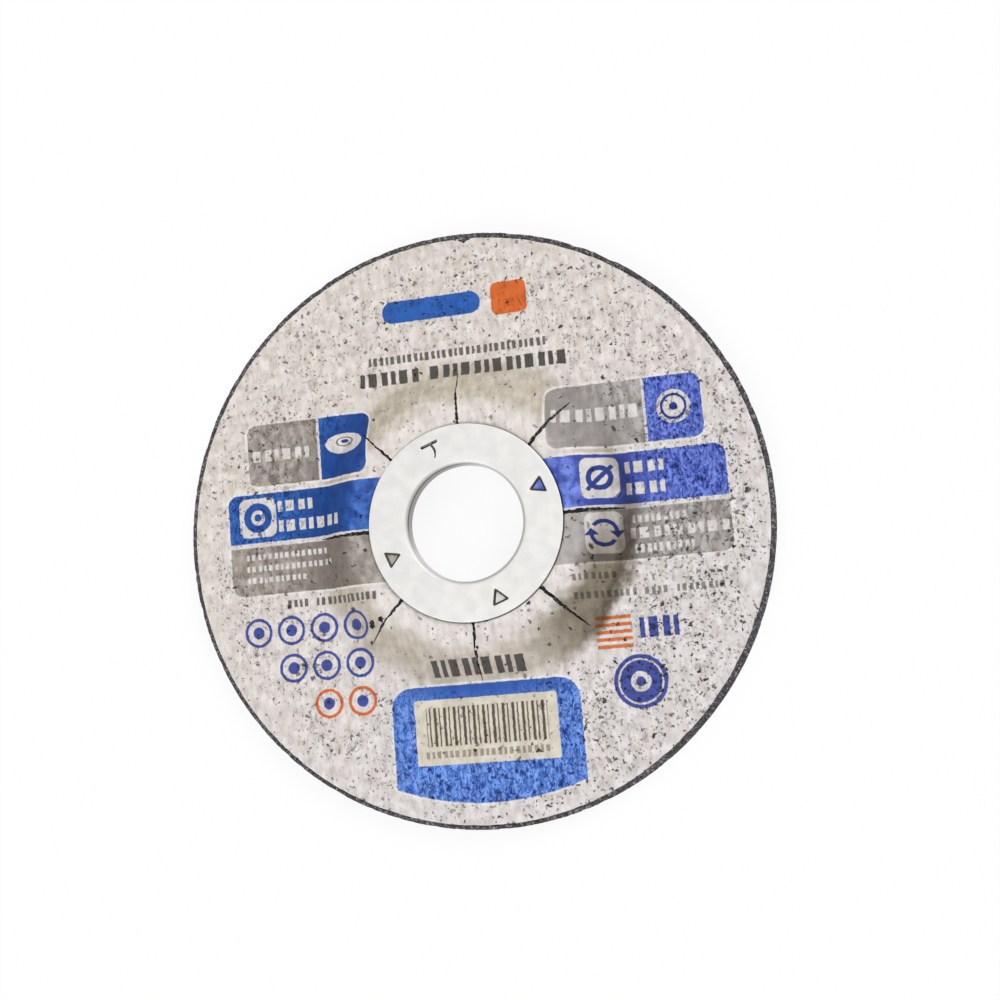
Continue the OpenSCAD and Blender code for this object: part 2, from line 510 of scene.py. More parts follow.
ring = new_section()
collar_foot = (bore_r, collar_end, 0)
draw_line(ring, [
    collar_foot, (collar_r, collar_end, 0), (collar_r, hub_top, LIP_INNER_R), (ring_r, hub_top, 0),
    (ring_r, ring_top, RING_EDGE_R), (bore_r, ring_top, LIP_R), collar_foot,
], RING_SKIN)
refine(ring, RING_SPACINGS)
turn(ring, RING_COLUMNS)
arbor_ring = to_object(ring, "stamped_ring")
print(f"ring: {len(arbor_ring.data.polygons)} faces")

# %% The two flaps of the torn window
WINDOW_SIDE = 3.9 * MM
SLUG_GAP = 0.62 * MM
SLUG_EDGE_R = 2.4 * MM
SLUG_REACH = 0.3 * MM
TEAR_WIDTH = 0.5 * MM
TEAR_SLOPE = 0.15 * MM
PUNCH_OVERLAP = 0.02 * MM
TONGUE_SEGMENTS = 48
window_circum_r = WINDOW_SIDE / math.sqrt(3)
window_outer_side = window_circum_r / 2
window_mid_height = (window_outer_side - window_circum_r) / 2


def raise_punch(prism, overlap):
    """Sets a flat outline under the flange, extrudes it through, and gives back its low points."""
    low = prism.verts[:]
    bmesh.ops.translate(prism, verts=low, vec=(0, 0, hub_top - overlap))
    extrude_up(prism, prism.faces[:], ring_t + 2 * overlap)
    return low


def round_tongue(radius, widened, overlap):
    """A round prism by the window's centre line, wider or narrower below. Its edge is the tear's curve."""
    tongue = bmesh.new()
    bmesh.ops.create_circle(tongue, cap_ends=True, radius=radius, segments=TONGUE_SEGMENTS)
    low = raise_punch(tongue, overlap)
    bmesh.ops.scale(tongue, verts=low, vec=(1 + widened / radius, 1 + widened / radius, 1))
    bmesh.ops.translate(tongue, verts=tongue.verts, vec=(window_mid_height, SLUG_EDGE_R - SLUG_REACH, 0))
    bmesh.ops.recalc_face_normals(tongue, faces=tongue.faces)
    return tongue


def trim_outer_side(flap):
    """Cuts a flap off short of the window's outer side, on a slope, and closes it there."""
    trimmed = bmesh.ops.bisect_plane(
        flap, geom=flap.verts[:] + flap.edges[:] + flap.faces[:],
        plane_co=(window_outer_side - SLUG_GAP, 0, ring_top), plane_no=(ring_t, 0, SLUG_GAP - TEAR_SLOPE),
        clear_outer=True,
    )
    open_edges = [part for part in trimmed["geom_cut"] if isinstance(part, bmesh.types.BMEdge)]
    bmesh.ops.holes_fill(flap, edges=open_edges)
    bmesh.ops.recalc_face_normals(flap, faces=flap.faces)


def slug():
    """The torn slug: a round-edged tongue that stops short of the window's outer side."""
    tongue = round_tongue(SLUG_EDGE_R, TEAR_SLOPE, 2 * PUNCH_OVERLAP)
    trim_outer_side(tongue)
    return to_object(tongue, "slug")


def side_flap():
    """The sheet on the other side of the tear."""
    flap = bmesh.new()
    bmesh.ops.create_grid(flap, x_segments=1, y_segments=1, size=WINDOW_SIDE)
    raise_punch(flap, 2 * PUNCH_OVERLAP)
    trim_outer_side(flap)
    piece = to_object(flap, "side_flap")
    tear = round_tongue(SLUG_EDGE_R + TEAR_WIDTH, -TEAR_SLOPE, 3 * PUNCH_OVERLAP)
    cut(piece, to_object(tear, "tear"))
    return piece


print(f"tear {TEAR_WIDTH / MM:.1f} mm wide in a window {WINDOW_SIDE / MM:.1f} mm wide")

# %% Punch the windows
WINDOW_COUNT = 4
WINDOW_CORNER_R = 0.25 * MM
WINDOW_ORBIT_R = 15.65 * MM
WINDOW_ANGLE = math.radians(20.25)
SLUG_WINDOW = 1
PUNCH_SLOPE = 0.5 * MM
CORNER_SEGMENTS = 5


def punch(index):
    """A triangular prism with rounded corners that points at the bore, narrower below, in its place."""
    prism = bmesh.new()
    corners = bmesh.ops.create_circle(prism, cap_ends=True, radius=window_circum_r, segments=3)["verts"]
    tip = max(corners, key=lambda vert: vert.co.length_squared + vert.co.y).co
    turn_to_bore = math.pi - math.atan2(tip.y, tip.x)
    bmesh.ops.rotate(prism, verts=corners, cent=(0, 0, 0), matrix=Matrix.Rotation(turn_to_bore, 3, "Z"))
    bmesh.ops.bevel(
        prism, geom=corners, offset=WINDOW_CORNER_R * math.sqrt(3), offset_type="OFFSET",
        affect="VERTICES", segments=CORNER_SEGMENTS, profile=0.5, material=-1,
    )
    low = raise_punch(prism, PUNCH_OVERLAP)
    if index != SLUG_WINDOW:
        narrowed = 1 - PUNCH_SLOPE / window_outer_side
        bmesh.ops.scale(prism, verts=low, vec=(narrowed, narrowed, 1))
    bmesh.ops.recalc_face_normals(prism, faces=prism.faces)
    piece = to_object(prism, "punch")
    if index == SLUG_WINDOW:
        cut(piece, slug())
        cut(piece, side_flap())
    turned = Matrix.Rotation(WINDOW_ANGLE + index * math.tau / WINDOW_COUNT, 4, "Z")
    piece.data.transform(turned @ Matrix.Translation((WINDOW_ORBIT_R, 0, 0)))
    return piece


for index in range(WINDOW_COUNT):
    cut(arbor_ring, punch(index))
print(f"ring with its windows: {len(arbor_ring.data.polygons)} faces")

# %% [markdown]
# ## Helpers for materials
# Colours are written as the hex values that a colour picker shows, and one function turns them to the
# linear values that shaders work with. One more function adds a node, sets its settings and fills its
# inputs with values or links. A Map Range node has two sockets for each of its two ranges, so FROM and TO
# name both at once.

# %% Colour and node helpers
MIX_FACTOR, MIX_A, MIX_B, MIX_RESULT = 0, 6, 7, 2
FROM, TO = ("From Min", "From Max"), ("To Min", "To Max")


def ink(hex_colour):
    """Linear RGBA of an sRGB hex colour."""
    shares = [int(hex_colour[i:i + 2], 16) / 255 for i in (1, 3, 5)]
    linear = [s / 12.92 if s <= 0.04045 else ((s + 0.055) / 1.055) ** 2.4 for s in shares]
    return (*linear, 1)


def add(tree, kind, inputs, **settings):
    """Adds a node, sets its settings, and fills its inputs, or pairs of them, with values or links."""
    node = tree.nodes.new("ShaderNode" + kind)
    for name, value in settings.items():
        setattr(node, name, value)
    for key, value in inputs.items():
        for socket, filling in zip(key, value) if isinstance(key, tuple) else [(key, value)]:
            if isinstance(filling, bpy.types.NodeSocket):
                tree.links.new(filling, node.inputs[socket])
            else:
                node.inputs[socket].default_value = filling
    return node.outputs


def empty_tree(owner):
    """Turns on the nodes of a material or a world and clears them."""
    owner.use_nodes = True
    owner.node_tree.nodes.clear()
    return owner.node_tree


def new_material(name):
    """A material with an empty tree and the wheel's plan coordinates in millimetres."""
    material = bpy.data.materials.new(name)
    tree = empty_tree(material)
    coordinates = add(tree, "TexCoord", {})["Object"]
    plan = add(tree, "VectorMath", {0: coordinates, 1: (1 / MM,) * 3}, operation="MULTIPLY")[0]
    return material, tree, plan


def lay_inks(tree, colour, inks, blend_type="MIX"):
    """Lays inks over a colour in turn. Each is a colour after one or more masks, which are multiplied."""
    for mask, *more_masks, tone in inks:
        for other in more_masks:
            mask = add(tree, "Math", {0: mask, 1: other}, operation="MULTIPLY")[0]
        layers = {MIX_FACTOR: mask, MIX_A: colour, MIX_B: tone}
        colour = add(tree, "Mix", layers, data_type="RGBA", blend_type=blend_type)[MIX_RESULT]
    return colour


def coat(piece, material, finish):
    """Gives a piece a material whose surface has the values and links of a finish."""
    surface = add(material.node_tree, "BsdfPrincipled", finish)[0]
    add(material.node_tree, "OutputMaterial", {"Surface": surface})
    piece.data.materials.append(material)
    print(f"{material.name}: {len(material.node_tree.nodes)} nodes")


print("material helpers ready")

# %% [markdown]
# ## Grit in resin
# The disc is a pressed mix of fused corundum and phenolic resin darkened with filler. Up close it is a
# matte dark grey with single grains from near black to pale grey. Grit 60 is about a quarter of a
# millimetre, and the cells of the pattern are drawn about that wide. The glass strands of the back are a
# little paler than the resin around them. Under the paper, where it shows in the slits, the resin is
# almost black, partly from more resin and partly as painted shade in the slits, with a pale grain here
# and there.

# %% Grit material
GRAIN_WIDTH = 0.3
FINE_GRAIN_WIDTH = 0.2
PALER_GRAINS, PALEST_GRAINS = (0.1, 0.8), (0.78, 1.0)
SKIN_BLUR = 0.2
STRAND_PALENESS = 0.6

grit, tree, plan = new_material("resin_bonded_corundum_grit")
cells = add(tree, "TexVoronoi", {"Vector": plan, "Scale": 1 / GRAIN_WIDTH}, feature="F1")
fine = add(tree, "TexNoise", {"Vector": plan, "Scale": 1 / FINE_GRAIN_WIDTH, "Detail": 3.0})[0]
shade = add(tree, "SeparateColor", {"Color": cells["Color"]})["Red"]
paler = add(tree, "MapRange", {"Value": shade, FROM: PALER_GRAINS})[0]
palest = add(tree, "MapRange", {"Value": shade, FROM: PALEST_GRAINS})[0]
skin_kind = add(tree, "Attribute", {}, attribute_name="skin")["Fac"]
# Painted shade: the top under the paper, seen in the slits, is darkened, partly as richer resin.
under_paper = add(tree, "MapRange", {
    "Value": skin_kind, FROM: (RIM_SKIN + SKIN_BLUR, HIDDEN_SKIN - SKIN_BLUR),
})[0]
strands = add(tree, "Attribute", {}, attribute_name="strand")["Fac"]
strand_share = add(tree, "Math", {0: strands, 1: STRAND_PALENESS}, operation="MULTIPLY")[0]
body = lay_inks(tree, ink("#302e30"), [
    (paler, ink("#575358")), (palest, ink("#979395")), (strand_share, ink("#6f6c66")),
    (under_paper, ink("#1c1b1c")), (under_paper, palest, ink("#767274")),
])
grain_bump = add(tree, "Bump", {"Height": cells["Distance"], "Distance": 0.06 * MM, "Strength": 0.7})[0]
fine_bump = add(tree, "Bump", {
    "Height": fine, "Distance": 0.04 * MM, "Strength": 0.6, "Normal": grain_bump,
})[0]
coat(abrasive_disc, grit, {
    "Base Color": body, "Roughness": 0.8, "Specular IOR Level": 0.3, "Normal": fine_bump,
})

# %% [markdown]
# ## Printed paper
# The label is uncoated paper printed with blue, grey, charcoal, orange and cream before it was pressed.
# All of the print is made of rounded boxes, because a disc is only a box whose corner radius is its half
# width. One node group gives the mask of such a box on the plan, and each ink is a list of boxes.

# %% One printed box as a node group
PRINT_BLUR = 0.09
SOCKETS = {"Plan": "Vector", "Centre": "Vector", "Reach": "Vector", "Corner": "Float"}

stamp = bpy.data.node_groups.new("printed_box", "ShaderNodeTree")
for socket_name, socket_type in SOCKETS.items():
    stamp.interface.new_socket(socket_name, in_out="INPUT", socket_type="NodeSocket" + socket_type)
stamp.interface.new_socket("Mask", in_out="OUTPUT", socket_type="NodeSocketFloat")
given = stamp.nodes.new("NodeGroupInput").outputs
offset = add(stamp, "VectorMath", {0: given["Plan"], 1: given["Centre"]}, operation="SUBTRACT")[0]
folded = add(stamp, "VectorMath", {0: offset}, operation="ABSOLUTE")[0]
beyond = add(stamp, "VectorMath", {0: folded, 1: given["Reach"]}, operation="SUBTRACT")[0]
outside = add(stamp, "VectorMath", {0: beyond, 1: (0, 0, 0)}, operation="MAXIMUM")[0]
length = add(stamp, "VectorMath", {0: outside}, operation="LENGTH")["Value"]
distance = add(stamp, "Math", {0: length, 1: given["Corner"]}, operation="SUBTRACT")[0]
mask = add(stamp, "MapRange", {
    "Value": distance, FROM: (-PRINT_BLUR, PRINT_BLUR), TO: (1.0, 0.0),
}, interpolation_type="SMOOTHSTEP")[0]
stamp.links.new(mask, stamp.nodes.new("NodeGroupOutput").inputs["Mask"])


def print_mask(plan, boxes):
    """Mask of rounded boxes, each given as left, right, low, high and corner in millimetres."""
    joined = 0.0
    for left, right, low, high, corner in boxes:
        box = add(tree, "Group", {
            "Plan": plan,
            "Centre": ((left + right) / 2, (low + high) / 2, 0),
            "Reach": ((right - left) / 2 - corner, (high - low) / 2 - corner, 0),
            "Corner": corner,
        }, node_tree=stamp)["Mask"]
        joined = add(tree, "Math", {0: joined, 1: box}, operation="MAXIMUM")[0] if joined else box
    return joined


def disc_box(x, y, radius):
    """The box of a disc."""
    return (x - radius, x + radius, y - radius, y + radius, radius)


def grown(box, margin):
    """A box with a margin all round."""
    left, right, low, high, corner = box
    return (left - margin, right + margin, low - margin, high + margin, corner + margin)


print("printed box group:", len(stamp.nodes), "nodes")

# %% Where the large fields lie
LEFT_PANEL = (-44.4, -18.6, 11.9, 24.25, 2.0)
RIGHT_PANEL = (16.8, 45.9, 12.0, 24.2, 2.0)
LEFT_BAND = (-49.2, -8.0, -9.7, 10.4, 2.0)
RIGHT_BAND = (8.0, 49.25, -9.7, 10.4, 2.0)
PANELS = [LEFT_PANEL, RIGHT_PANEL, LEFT_BAND, RIGHT_BAND]
BLUE_SIDES = [
    (-29.5, -15, 8, 28, 0.2), (35.15, 50, 8, 28, 0.2),
    (-60, -5, 0.25, 11.6, 0.2), (5, 60, 0.25, 11.6, 0.2),
]
DIVIDERS = [
    (-29.8, -29.25, 11, 25, 0.2), (34.9, 35.4, 11, 25, 0.2),
    (-50, -8, -0.2, 0.7, 0.2), (8, 50, -0.2, 0.7, 0.2),
]
BOTTOM_PANEL = (-18.3, 18.3, -70, -30.2, 4.0)
PANEL_ARC = disc_box(0, 0, 52.4)
CREAM_PANEL = (-13.9, 13.8, -45.0, -32.7, 0.5)
PANEL_BORDER = 0.45
print("large fields:", len(PANELS) + 2)

# %% [markdown]
# The paper itself comes first: an off-white that is a little mottled, warmer on the upper left. The plan
# is flattened and pushed about by a fine noise, so that ink edges are as ragged as print on rough paper.
# A second plan is squeezed along Y, which draws patterns out along the mesh. Grit and mesh show only on
# the flat annulus, so the hub, the flank and the outermost edge are smoother than the rest.

# %% Paper tone and plan
EDGE_WANDER = 0.3
EDGE_WANDER_SIZE = 0.8
MOTTLE_SIZE, MOTTLE_CONTRAST = 1.6, (0.32, 0.66)
STREAK_SQUEEZE = 0.55
WARM_SIDE, WARM_RAMP = (-0.6, 0.8, 0), (-30.0, 40.0)
HUB_EDGE, GRIT_EDGE, MESH_EDGE = (22.3, 24.5), (31.5, 38.0), (52.0, 53.6)
HUB_LIFT = 0.5
EDGE_GRIT = 0.4

paper, tree, solid_plan = new_material("pressed_printed_paper")
flat_plan = add(tree, "VectorMath", {0: solid_plan, 1: (1, 1, 0)}, operation="MULTIPLY")[0]
wander = add(tree, "TexNoise", {
    "Vector": flat_plan, "Scale": 1 / EDGE_WANDER_SIZE, "Detail": 2.0,
})["Color"]
wander = add(tree, "VectorMath", {0: wander, 1: (0.5, 0.5, 0.5)}, operation="SUBTRACT")[0]
wander = add(tree, "VectorMath", {0: wander, 1: (EDGE_WANDER, EDGE_WANDER, 0)}, operation="MULTIPLY")[0]
plan = add(tree, "VectorMath", {0: flat_plan, 1: wander}, operation="ADD")[0]
streak_plan = add(tree, "VectorMath", {0: flat_plan, 1: (1, STREAK_SQUEEZE, 1)}, operation="MULTIPLY")[0]
radius = add(tree, "VectorMath", {0: flat_plan}, operation="LENGTH")["Value"]
east = add(tree, "SeparateXYZ", {0: flat_plan})["X"]
before_edge = add(tree, "MapRange", {"Value": radius, FROM: MESH_EDGE, TO: (1.0, EDGE_GRIT)})[0]
grit_zone = add(tree, "MapRange", {"Value": radius, FROM: GRIT_EDGE, "To Max": before_edge})[0]
on_hub = add(tree, "MapRange", {"Value": radius, FROM: HUB_EDGE, TO: (1.0, 0.0)})[0]
hub_lift = add(tree, "MapRange", {"Value": on_hub, "To Max": HUB_LIFT})[0]
mottle = add(tree, "TexNoise", {
    "Vector": streak_plan, "Scale": 1 / MOTTLE_SIZE, "Detail": 5.0, "Roughness": 0.65, "Distortion": 0.5,
})[0]
mottle = add(tree, "MapRange", {"Value": mottle, FROM: MOTTLE_CONTRAST, "To Min": hub_lift})[0]
warmth = add(tree, "VectorMath", {0: flat_plan, 1: WARM_SIDE}, operation="DOT_PRODUCT")["Value"]
warmth = add(tree, "MapRange", {"Value": warmth, FROM: WARM_RAMP})[0]
sunk_paper = lay_inks(tree, ink("#d6d1d0"), [(warmth, ink("#d8d1c9"))])
raised_paper = lay_inks(tree, ink("#eee9e8"), [(warmth, ink("#eee7e0"))])
colour = lay_inks(tree, sunk_paper, [(mottle, raised_paper)])
print("paper nodes:", len(tree.nodes))

# %% [markdown]
# Over the flank the paper is darker all round, under the inks: partly a dull olive cast where resin bled
# into it as the press drew it over the flank, partly painted shade on the slope, with a soft, uneven
# border.

# %% Resin cast and painted flank shade
FLANK_NOISE_SIZE, FLANK_NOISE_CONTRAST = 5.0, (0.3, 0.7)
RADIUS_WANDER = 1.6
CAST_START, CAST_END = (22.0, 25.0), (30.2, 32.8)

flank_noise = add(tree, "TexNoise", {
    "Vector": flat_plan, "Scale": 1 / FLANK_NOISE_SIZE, "Detail": 8.0, "Roughness": 0.65,
})[0]
radius_wander = add(tree, "MapRange", {
    "Value": flank_noise, FROM: FLANK_NOISE_CONTRAST, TO: (-RADIUS_WANDER, RADIUS_WANDER),
})[0]
wandering_radius = add(tree, "Math", {0: radius, 1: radius_wander}, operation="ADD")[0]
flank_start = add(tree, "MapRange", {"Value": wandering_radius, FROM: CAST_START})[0]
flank_cast_and_shade = add(tree, "MapRange", {"Value": wandering_radius, FROM: CAST_END, TO: (flank_start, 0.0)})[0]
# Painted shade on the flank, together with the olive resin cast.
colour = lay_inks(tree, colour, [(flank_cast_and_shade, ink("#e6e2d6"))], "MULTIPLY")
print("paper nodes with the resin cast:", len(tree.nodes))

# %% [markdown]
# The blue and grey fields follow. Blue is deep on the left and pales towards the bottom, and a painted
# sheen pales both inks towards the right.
# Over the grit both inks broke up into dark and pale streaks, on the flank they stayed smooth and deep,
# and on the hub they wore to pale patches. One tone from dark to pale holds all three.

# %% Tones of the fields
INK_STREAK, STREAK_CONTRAST = 0.8, (0.36, 0.63)
HUB_PATCH, PATCH_CONTRAST = 2.4, (0.4, 0.62)
DEEP_PATCH, PALE_PATCH = 0.2, 0.8
BLOTCH_CONTRAST = (0.15, 0.85)
FLANK_TONE = 0.12
PALE_FLANK_TONE = 0.36
PALE_FLANK_SIDE, PALE_FLANK_RAMP = (0.7, 0.7, 0), (16.0, 25.0)
PALE_RAMP = (-26.0, 14.0)

streaks = add(tree, "TexNoise", {
    "Vector": streak_plan, "Scale": 1 / INK_STREAK, "Detail": 3.0, "Roughness": 0.6, "Distortion": 1.3,
})[0]
streak_tone = add(tree, "MapRange", {"Value": streaks, FROM: STREAK_CONTRAST})[0]
patches = add(tree, "TexNoise", {"Vector": flat_plan, "Scale": 1 / HUB_PATCH, "Detail": 3.0})[0]
patch_tone = add(tree, "MapRange", {"Value": patches, FROM: PATCH_CONTRAST, "To Min": DEEP_PATCH})[0]
# Painted sheen: this ramp pales the inks towards the right; the specks also grow denser along it.
pale_east = add(tree, "MapRange", {"Value": east, FROM: PALE_RAMP})[0]
flank_side = add(tree, "VectorMath", {0: flat_plan, 1: PALE_FLANK_SIDE}, operation="DOT_PRODUCT")["Value"]
grey_flank = add(tree, "MapRange", {
    "Value": flank_side, FROM: PALE_FLANK_RAMP, TO: (FLANK_TONE, PALE_FLANK_TONE),
})[0]
grey_blotches = add(tree, "MapRange", {"Value": mottle, FROM: BLOTCH_CONTRAST})[0]
blue_smooth = add(tree, "MapRange", {"Value": on_hub, TO: (FLANK_TONE, patch_tone)})[0]
grey_patch = add(tree, "MapRange", {"Value": pale_east, TO: (patch_tone, PALE_PATCH)})[0]
grey_smooth = add(tree, "MapRange", {"Value": on_hub, TO: (grey_flank, grey_patch)})[0]
blue_tone = add(tree, "MapRange", {"Value": grit_zone, TO: (blue_smooth, streak_tone)})[0]
grey_tone = add(tree, "MapRange", {"Value": grit_zone, TO: (grey_smooth, grey_blotches)})[0]
print("paper nodes with the tones:", len(tree.nodes))

# %% Blue and grey fields
BORDER_INK = ink("#ebe7e3")

# Each ink is paled towards the right by the painted sheen.
dark_blue = lay_inks(tree, ink("#113f86"), [(pale_east, ink("#283c98"))])
light_blue = lay_inks(tree, ink("#4275c9"), [(pale_east, ink("#7f96f2"))])
dark_grey = lay_inks(tree, ink("#7a736a"), [(pale_east, ink("#86817d"))])
light_grey = lay_inks(tree, ink("#bbb4ac"), [(pale_east, ink("#c1bdbb"))])
blue = lay_inks(tree, dark_blue, [(blue_tone, light_blue)])
bottom_blue = lay_inks(tree, ink("#1c4da6"), [(blue_tone, ink("#84aeff"))])
grey = lay_inks(tree, dark_grey, [(grey_tone, light_grey)])
panels, blue_sides = print_mask(plan, PANELS), print_mask(plan, BLUE_SIDES)
bottom_field, panel_arc = print_mask(plan, [BOTTOM_PANEL]), print_mask(plan, [PANEL_ARC])
border = print_mask(plan, [grown(box, PANEL_BORDER) for box in PANELS])
bottom_border = print_mask(plan, [grown(BOTTOM_PANEL, PANEL_BORDER)])
arc_border = print_mask(plan, [grown(PANEL_ARC, PANEL_BORDER)])
cream = print_mask(plan, [CREAM_PANEL])
side_share = add(tree, "Math", {0: panels, 1: blue_sides}, operation="MULTIPLY")[0]
bottom_share = add(tree, "Math", {0: bottom_field, 1: panel_arc}, operation="MULTIPLY")[0]
colour = lay_inks(tree, colour, [
    (border, BORDER_INK), (bottom_border, arc_border, BORDER_INK),
    (panels, grey), (side_share, blue), (bottom_share, bottom_blue), (cream, ink("#ddd7c8")),
])
any_blue = add(tree, "Math", {0: side_share, 1: bottom_share}, operation="MAXIMUM")[0]
inked = add(tree, "MapRange", {"Value": cream, TO: (any_blue, 0.0)})[0]
print("paper nodes with the fields:", len(tree.nodes))

# %% [markdown]
# Rows of plain blocks run across the panels and the open paper. A copy of the plan that is wrapped into
# one tile repeats three blocks along X, and each line is a box that shows a stretch of that row.

# %% Where the lines run
LARGE_PALE = [
    (-43.3, -30.8, 16.8, 19.0, 0.3), (17.8, 34.0, 17.0, 19.6, 0.3),
    (-38.3, -30.6, 6.5, 8.6, 0.3), (-38.3, -24.4, 2.5, 4.7, 0.3),
    (31.0, 37.0, 6.5, 8.6, 0.3), (31.0, 38.6, 2.4, 4.6, 0.3), (31.0, 48.0, -5.9, -3.9, 0.3),
]
SMALL_PALE = [
    (-46.5, -28.8, -2.7, -1.6, 0.2), (-46.5, -28.2, -5.0, -3.9, 0.2), (-46.5, -34.0, -7.3, -6.2, 0.2),
    (31.0, 41.5, -2.9, -1.5, 0.2), (31.3, 42.0, -8.6, -7.0, 0.2),
]
LARGE_DARK = [
    (-20.4, -8.4, 29.0, 31.7, 0.3), (-6.4, 10.2, 29.0, 31.7, 0.3), (11.6, 20.4, 29.0, 31.7, 0.3),
    (-8.9, 8.2, -28.6, -25.3, 0.3),
]
SMALL_DARK = [
    (-38.3, -33.2, -12.7, -11.2, 0.2), (-32.2, -18.8, -12.7, -11.2, 0.2), (-17.9, 17.9, 33.1, 34.7, 0.2),
]
FAINT = [
    (19.5, 26.6, -12.8, -11.6, 0.2), (18.7, 30.3, -16.3, -15.0, 0.2),
    (31.8, 36.2, -16.3, -15.0, 0.2), (37.8, 47.0, -16.3, -15.0, 0.2),
]
print("lines:", sum(map(len, (LARGE_PALE, SMALL_PALE, LARGE_DARK, SMALL_DARK, FAINT))))

# %% Rows of blocks
FAR = 100.0
TILES = range(-20, 21)
HALF_GAP = 0.12
# Each row's pitch, the corners of its blocks, and where they start and end
ROWS = {
    "large": (6.3, 0.15, [(-3.0, -1.7), (-1.05, -0.1), (0.6, 2.3)]),
    "small": (3.5, 0.12, [(-1.65, -0.95), (-0.5, 0.05), (0.5, 1.25)]),
}
PALE_PRINT = ink("#e0dcd9")


def repeat_mask(centre, width, height, boxes):
    """Mask of boxes in a tile about a centre, which repeats over the whole plan."""
    middle, half = Vector((*centre, 0)), Vector((width / 2, height / 2, FAR))
    limits = {0: plan, 1: middle + half, 2: middle - half}
    return print_mask(add(tree, "VectorMath", limits, operation="WRAP")[0], boxes)


def printed_lines(row, lines, tone):
    """An ink of lines whose ends are moved to whole blocks of a row, with half a gap beyond them."""
    pitch, _, blocks = ROWS[row]
    starts = [tile * pitch + left for tile in TILES for left, _ in blocks]
    ends = [tile * pitch + right for tile in TILES for _, right in blocks]
    snapped = []
    for left, right, low, high, corner in lines:
        start = min(starts, key=lambda edge: abs(edge - left)) - HALF_GAP
        end = min(ends, key=lambda edge: abs(edge - right)) + HALF_GAP
        snapped.append((start, end, low, high, corner))
    return (row_masks[row], print_mask(plan, snapped), tone)


row_masks = {}
for name, (pitch, corner, blocks) in ROWS.items():
    columns = [(left, right, -FAR, FAR, corner) for left, right in blocks]
    row_masks[name] = repeat_mask((0, 0), pitch, 2 * FAR, columns)
colour = lay_inks(tree, colour, [
    (print_mask(plan, DIVIDERS), PALE_PRINT),
    printed_lines("large", LARGE_PALE, PALE_PRINT),
    printed_lines("small", SMALL_PALE, PALE_PRINT),
    printed_lines("large", LARGE_DARK, ink("#56534f")),
    printed_lines("small", SMALL_DARK, ink("#6d6a66")),
    printed_lines("small", FAINT, ink("#8d8a86")),
])
print("paper nodes with the lines:", len(tree.nodes))

# %% [markdown]
# Small plain figures finish the print: pale squares with rings and discs, a pale oval, a grid of rings,
# a striped field, a round blue spot and an even row of bars. Each is only a few boxes again. An oval is
# a disc on a stretched plan, a slanting stroke is a box on a turned plan, and an arrow's head is half of
# a turned square.

# %% Figures in the panels
PALE_SQUARES = [
    (-47.0, -39.3, 1.8, 9.6, 1.5), (22.5, 29.3, 2.0, 9.75, 1.5), (22.5, 29.3, -8.3, -0.6, 1.5),
]
BORE_FIGURE, SIZE_FIGURE, TURN_FIGURE = (-43.15, 5.7), (25.9, 5.9), (25.9, -4.45)
DISC_FIGURE, OVAL_FIGURE = (40.6, 18.2), (-24.0, 18.6)
OVAL_STRETCH, OVAL_RING_LIFT, OVAL_DOT_LIFT = 2.0, 0.7, 0.9
# Outer and inner radius of each figure's ring, and the radii of its dot and of the pale field under it
BORE_RING, SIZE_RING, TURN_RING = (2.95, 1.5), (2.4, 1.45), (2.6, 1.85)
DISC_RING, OVAL_RING = (2.5, 2.0), (1.9, 1.5)
BORE_DOT_R, DISC_DOT_R, OVAL_DOT_R = 0.75, 0.8, 0.8
DISC_FIELD_R, OVAL_FIELD_R = 3.2, 4.1
SIZE_STROKE, TURN_CUT = [(-3.3, 3.3, -0.42, 0.42, 0.3)], [(-3.2, 3.2, -0.55, 0.55, 0.2)]
SLANT, TURN_GAP = math.radians(-45), math.radians(25)
ARROW_HEAD, HEAD_REACH = [(-0.95, 0.95, -0.95, 0.95, 0.15)], 2.0
HEAD_SIDE, HEAD_LIFT, HEAD_CORNER = 2.25, 0.3, 0.2
NAVY, DEEP_BLUE = ink("#2d3f8e"), ink("#2a55a6")


def ring_mask(plan, centre, outer, inner):
    """Mask of a ring between two radii."""
    whole = print_mask(plan, [disc_box(*centre, outer)])
    hole = print_mask(plan, [disc_box(*centre, inner)])
    return add(tree, "Math", {0: whole, 1: hole}, operation="SUBTRACT", use_clamp=True)[0]


def slanted(centre, boxes, angle=SLANT):
    """Mask of boxes about a figure's centre, on a plan that is turned there."""
    pivot = {"Vector": plan, "Center": (*centre, 0), "Angle": angle}
    turned = add(tree, "VectorRotate", pivot, rotation_type="Z_AXIS")[0]
    moved = add(tree, "VectorMath", {0: turned, 1: (*centre, 0)}, operation="SUBTRACT")[0]
    return print_mask(moved, boxes)


def arrow_head(side):
    """An ink of half a turned square: its lower half on the right, its upper half on the left."""
    x, y = TURN_FIGURE[0] + side * HEAD_SIDE, TURN_FIGURE[1] + side * HEAD_LIFT
    low, high = sorted((y, y - side * HEAD_REACH))
    half = (x - HEAD_REACH, x + HEAD_REACH, low, high, HEAD_CORNER)
    return (slanted((x, y), ARROW_HEAD), print_mask(plan, [half]), NAVY)


